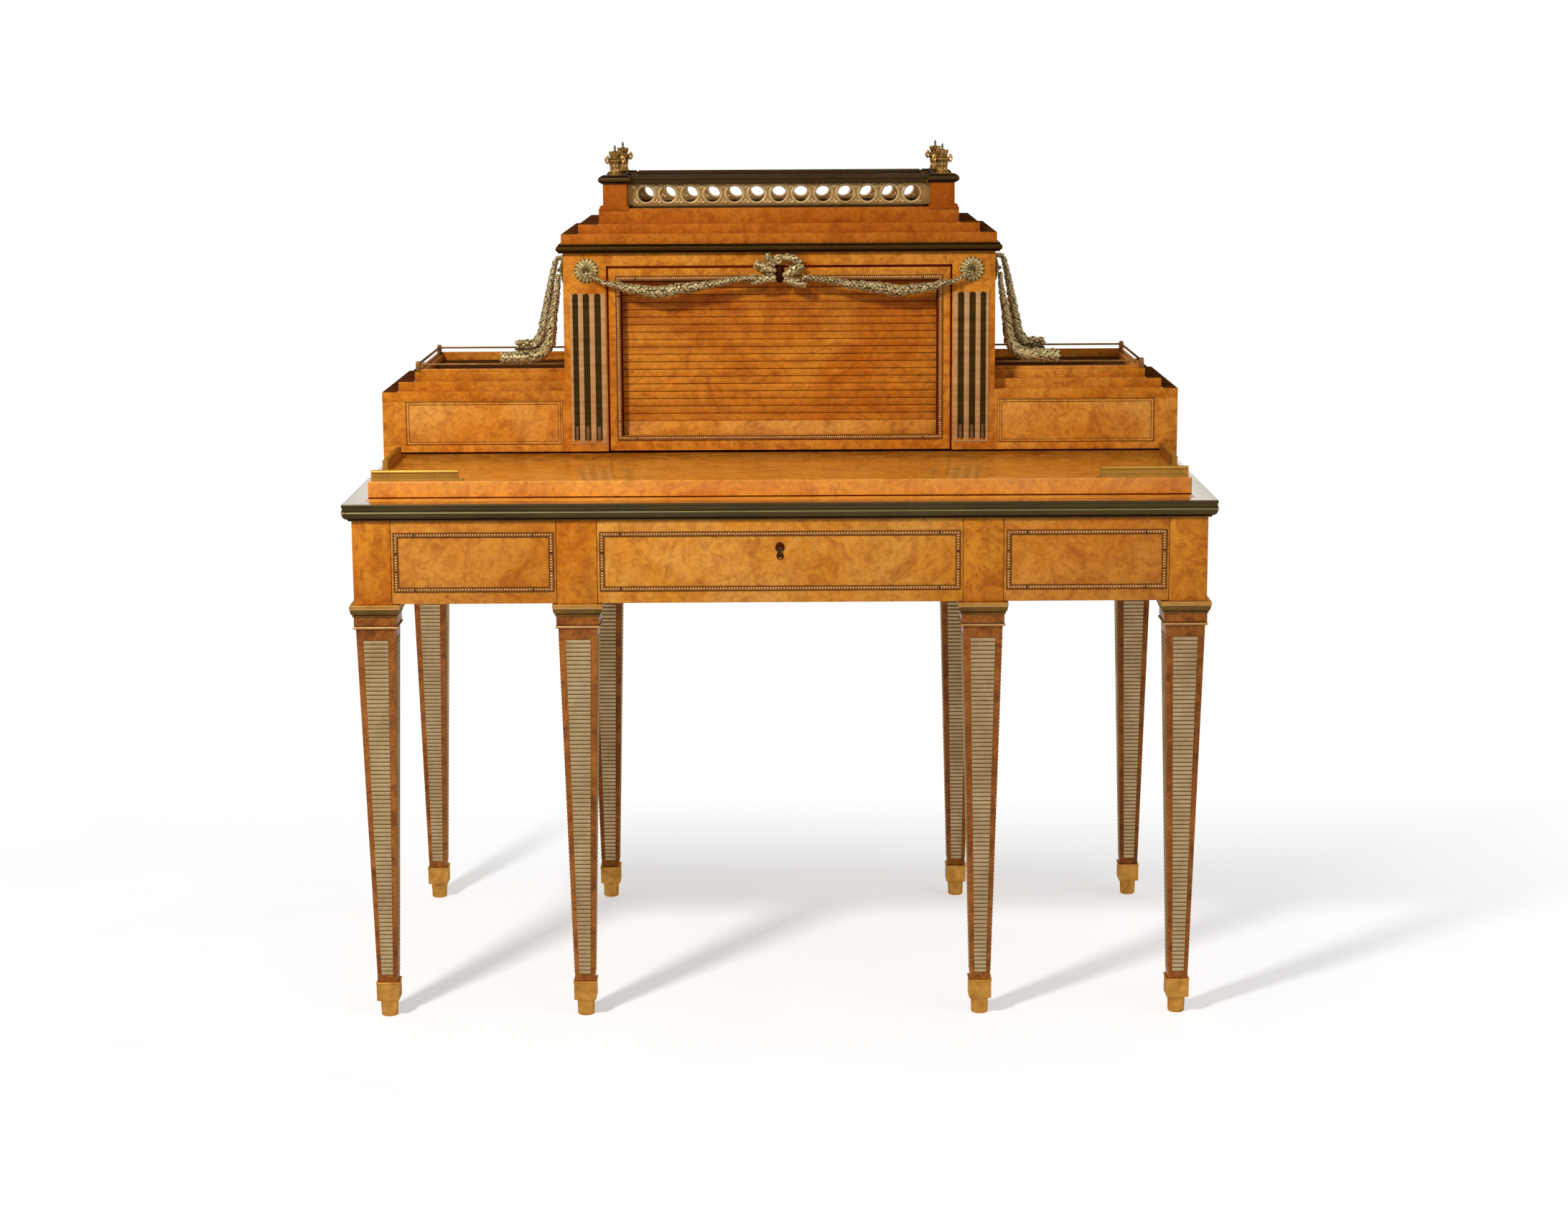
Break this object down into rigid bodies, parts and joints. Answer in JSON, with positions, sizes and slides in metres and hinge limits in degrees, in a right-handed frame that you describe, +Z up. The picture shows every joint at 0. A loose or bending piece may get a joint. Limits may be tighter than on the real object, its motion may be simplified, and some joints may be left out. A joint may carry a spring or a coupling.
{
  "type": "writing desk",
  "caption": "Writing desk on tapering square legs with frieze drawers, a sliding writing board, low wings with drawers and a tambour cabinet under a pierced gallery.",
  "frame": {"origin": "on the floor under the middle of the table top", "axes": "+X to the right of someone who sits at it, +Y towards the back, +Z up"},
  "size_m": [1.2602, 0.7282, 1.2731],
  "materials": {
    "veneer": "french polished",
    "carcase_wood": "waxed",
    "dark_inlay": "polished",
    "gilt_bronze": "gilt",
    "dark_bronze": "patinated",
    "pale_brass": "satin",
    "lock_steel": "worn"
  },
  "bodies": {
    "desk": {"front_legs": "veneer", "back_legs": "veneer", "leg_capitals": "dark_bronze", "leg_rib_panels": "pale_brass", "leg_sabots": "gilt_bronze", "frieze_stiles": "veneer", "frieze_boards": "veneer", "drawer_partitions": "carcase_wood", "drawer_runners": "carcase_wood", "table_top": "veneer", "table_edge_moulding": "dark_bronze", "table_edge_line": "gilt_bronze", "case_bearers": "veneer", "case_base": "veneer", "wing_carcases": "veneer", "wing_face_frames": "veneer", "wing_stepped_tops": "veneer", "wing_galleries": "gilt_bronze", "cabinet_carcase": "veneer", "cabinet_interior": "carcase_wood", "pilasters": "veneer", "flute_inlays": "dark_inlay", "pilaster_fillets": "pale_brass", "frieze_rail": "veneer", "door_frame": "veneer", "door_beads": "gilt_bronze", "tambour_slats": "veneer", "tambour_tracks": "carcase_wood", "cornice_moulding": "dark_bronze", "attic_steps": "veneer", "attic_posts": "veneer", "attic_coping": "dark_bronze", "attic_frets": "gilt_bronze", "finials": "gilt_bronze", "rosettes": "gilt_bronze", "ribbon_bow": "gilt_bronze", "front_garlands": "gilt_bronze", "side_garlands": "gilt_bronze"},
    "centre_drawer": {"centre_drawer_front": "veneer", "centre_drawer_box": "carcase_wood", "centre_drawer_beads": "gilt_bronze", "keyhole_escutcheon": "dark_bronze", "lock_case": "lock_steel"},
    "bolt": {"lock_bolt": "lock_steel"},
    "left_drawer": {"left_drawer_front": "veneer", "left_drawer_box": "carcase_wood", "left_drawer_beads": "gilt_bronze"},
    "right_drawer": {"right_drawer_front": "veneer", "right_drawer_box": "carcase_wood", "right_drawer_beads": "gilt_bronze"},
    "writing_slide": {"writing_slab": "veneer", "slab_front_rails": "pale_brass", "slab_side_rails": "pale_brass"},
    "left_wing_drawer": {"left_wing_drawer_front": "veneer", "left_wing_drawer_box": "carcase_wood", "left_wing_drawer_string": "gilt_bronze"},
    "right_wing_drawer": {"right_wing_drawer_front": "veneer", "right_wing_drawer_box": "carcase_wood", "right_wing_drawer_string": "gilt_bronze"},
    "tambour": {"tambour_rail": "veneer"}
  },
  "joints": [
    {"name": "centre_drawer_slide", "type": "slide", "parent": "desk", "child": "centre_drawer", "axis": [0, -1, 0], "range_m": [0, 0.36]},
    {"name": "bolt_slide", "type": "slide", "parent": "centre_drawer", "child": "bolt", "axis": [0, 0, 1], "range_m": [0, 0.008]},
    {"name": "left_drawer_slide", "type": "slide", "parent": "desk", "child": "left_drawer", "axis": [0, -1, 0], "range_m": [0, 0.36]},
    {"name": "right_drawer_slide", "type": "slide", "parent": "desk", "child": "right_drawer", "axis": [0, -1, 0], "range_m": [0, 0.36]},
    {"name": "writing_slide_slide", "type": "slide", "parent": "desk", "child": "writing_slide", "axis": [0, -1, 0], "range_m": [0, 0.25]},
    {"name": "left_wing_drawer_slide", "type": "slide", "parent": "desk", "child": "left_wing_drawer", "axis": [0, -1, 0], "range_m": [0, 0.2]},
    {"name": "right_wing_drawer_slide", "type": "slide", "parent": "desk", "child": "right_wing_drawer", "axis": [0, -1, 0], "range_m": [0, 0.2]},
    {"name": "tambour_slide", "type": "slide", "parent": "desk", "child": "tambour", "axis": [0, 0, 1], "range_m": [0, 0.232], "deforming": ["tambour_slats"]}
  ]
}
